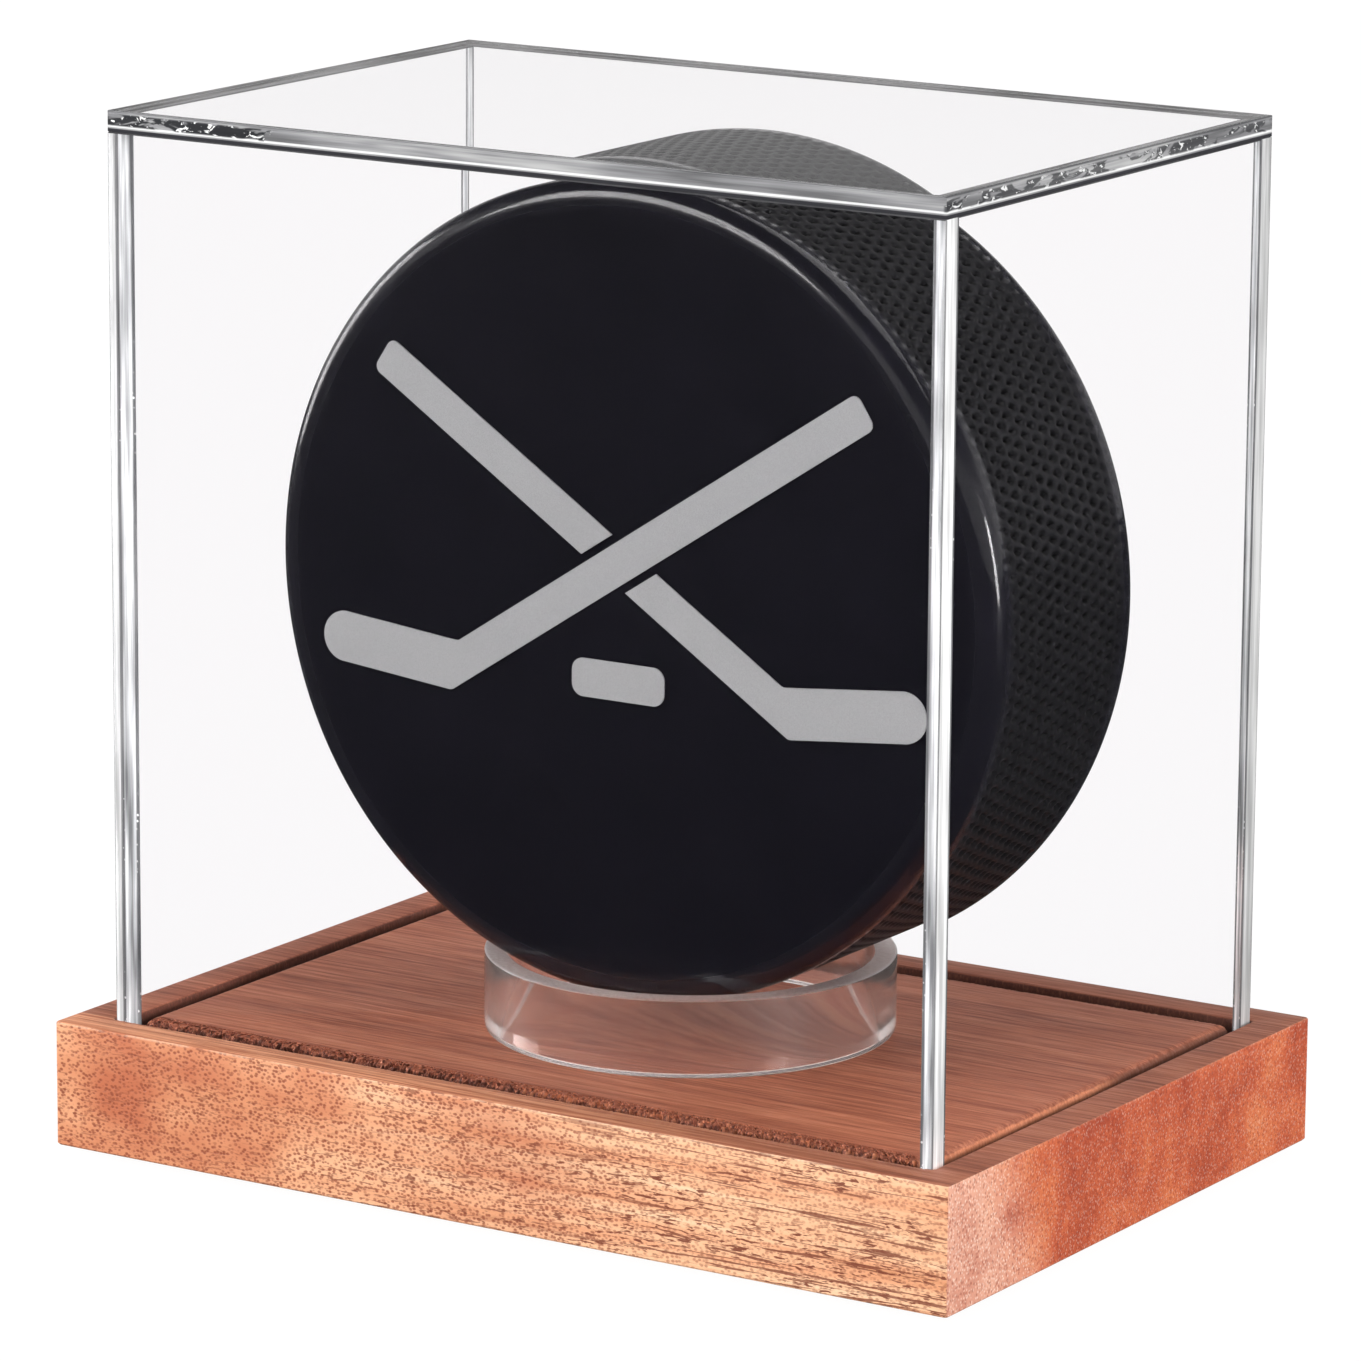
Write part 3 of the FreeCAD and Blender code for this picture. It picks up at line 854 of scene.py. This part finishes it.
def make_floor():
    """A plain pale floor. It looks white, and only weakly lights and mirrors in the case."""
    s = Shader("studio_floor")
    tone = s.noise(s.coords(), 0.01, 2.0, 0.5)
    colour = s.colours(tone, [(0.0, (0.93, 0.93, 0.93)), (1.0, (0.95, 0.95, 0.95))])
    looked_at = s.add(
        "BsdfPrincipled",
        {
            "Base Color": s.mix(0.94, colour, rgb(0, 0, 0)),
            "Roughness": 0.9,
            "Specular IOR Level": 0.0,
            "Emission Color": rgb(1, 1, 1),
            "Emission Strength": 0.97,
        },
    )
    path = s.add("LightPath")
    mirrored = s.math("GREATER_THAN", path.outputs["Glossy Depth"], 0.5)
    glow = s.ramp(mirrored, 0.0, 1.0, 0.6, 0.05)
    lighting = s.add("Emission", {"Color": rgb(1, 1, 1), "Strength": glow})
    inputs = {0: seen_directly(s), 1: lighting.outputs[0], 2: looked_at.outputs[0]}
    white = s.finish(s.add("MixShader", inputs))
    mesh = bpy.data.meshes.new("floor")
    reach, level = 8.0, -0.05 * MM
    signs = ((-1, -1), (1, -1), (1, 1), (-1, 1))
    corners = [(x * reach, y * reach, level) for x, y in signs]
    mesh.from_pydata(corners, [], [(0, 1, 2, 3)])
    mesh.materials.append(white)
    floor = bpy.data.objects.new("floor", mesh)
    bpy.context.scene.collection.objects.link(floor)


def make_world():
    """A white surround. As light it is dimmer overhead, and mirrored it is a dim studio."""
    s = Shader("studio", world=True)
    up = s.add("SeparateXYZ", {0: s.add("TexCoord").outputs["Generated"]}).outputs[2]
    light = s.ramp(up, 0.3, 0.8, 0.8, 0.5)
    mirrored = s.ramp(up, 0.25, 0.5, 0.8, 0.10)
    path = s.add("LightPath")
    glossy = s.math("GREATER_THAN", path.outputs["Glossy Depth"], 0.5)
    bounced = s.add("Mix", {0: glossy, 2: light, 3: mirrored}).outputs[0]
    strength = s.add("Mix", {0: seen_directly(s), 2: bounced, 3: 1.0}).outputs[0]
    sky = s.add("Background", {"Color": rgb(1, 1, 1), "Strength": strength})
    bpy.context.scene.world = s.finish(sky)


def add_lamp(name, azimuth, elevation, distance, width, height, power):
    """A soft rectangular lamp aimed at the middle of the case."""
    aim = Vector((0, 0, 0.05))
    a, e = math.radians(azimuth), math.radians(elevation)
    back = Vector((math.sin(a) * math.cos(e), -math.cos(a) * math.cos(e), math.sin(e)))
    data = bpy.data.lights.new(name, "AREA")
    data.shape = "RECTANGLE"
    data.size, data.size_y = width, height
    data.energy = power
    lamp = bpy.data.objects.new(name, data)
    lamp.location = aim + back * distance
    lamp.rotation_mode = "QUATERNION"
    lamp.rotation_quaternion = (-back).to_track_quat("-Z", "Y")
    bpy.context.scene.collection.objects.link(lamp)


def make_camera():
    """The viewing angle: right of the front and a little above."""
    yaw, pitch, roll = (math.radians(a) for a in (32.39, 12.69, 0.41))
    level = math.cos(pitch)
    ahead = Vector((-math.sin(yaw) * level, math.cos(yaw) * level, -math.sin(pitch)))
    right = Vector((math.cos(yaw), math.sin(yaw), 0))
    up = right.cross(ahead)
    across = math.cos(roll) * right + math.sin(roll) * up
    upright = -math.sin(roll) * right + math.cos(roll) * up
    data = bpy.data.cameras.new("camera")
    data.sensor_width = 36.0
    data.lens = 193.4
    data.clip_start, data.clip_end = 0.01, 50
    camera = bpy.data.objects.new("camera", data)
    turn = Matrix((across, upright, -ahead)).transposed().to_4x4()
    camera.matrix_world = Matrix.Translation((0.3547, -0.5602, 0.1949)) @ turn
    bpy.context.scene.collection.objects.link(camera)
    bpy.context.scene.camera = camera


make_board()
make_cover()
make_ring()
make_puck()
paint("puck_print", INK)
ease_print()
for corner in ("front_left", "front_right", "back_left", "back_right"):
    paint(f"foot_pad_{corner}", PAD)

make_floor()
make_world()
add_lamp("key", -30, 22, 1.2, 0.7, 0.5, 10.4)
add_lamp("strip", 84, 6, 1.0, 0.22, 0.3, 5)
add_lamp("overhead", 150, 60, 1.2, 1.2, 0.9, 5.8)
add_lamp("left", -78, 10, 1.0, 0.42, 0.45, 4.2)
make_camera()
bpy.context.scene.view_settings.view_transform = "Standard"
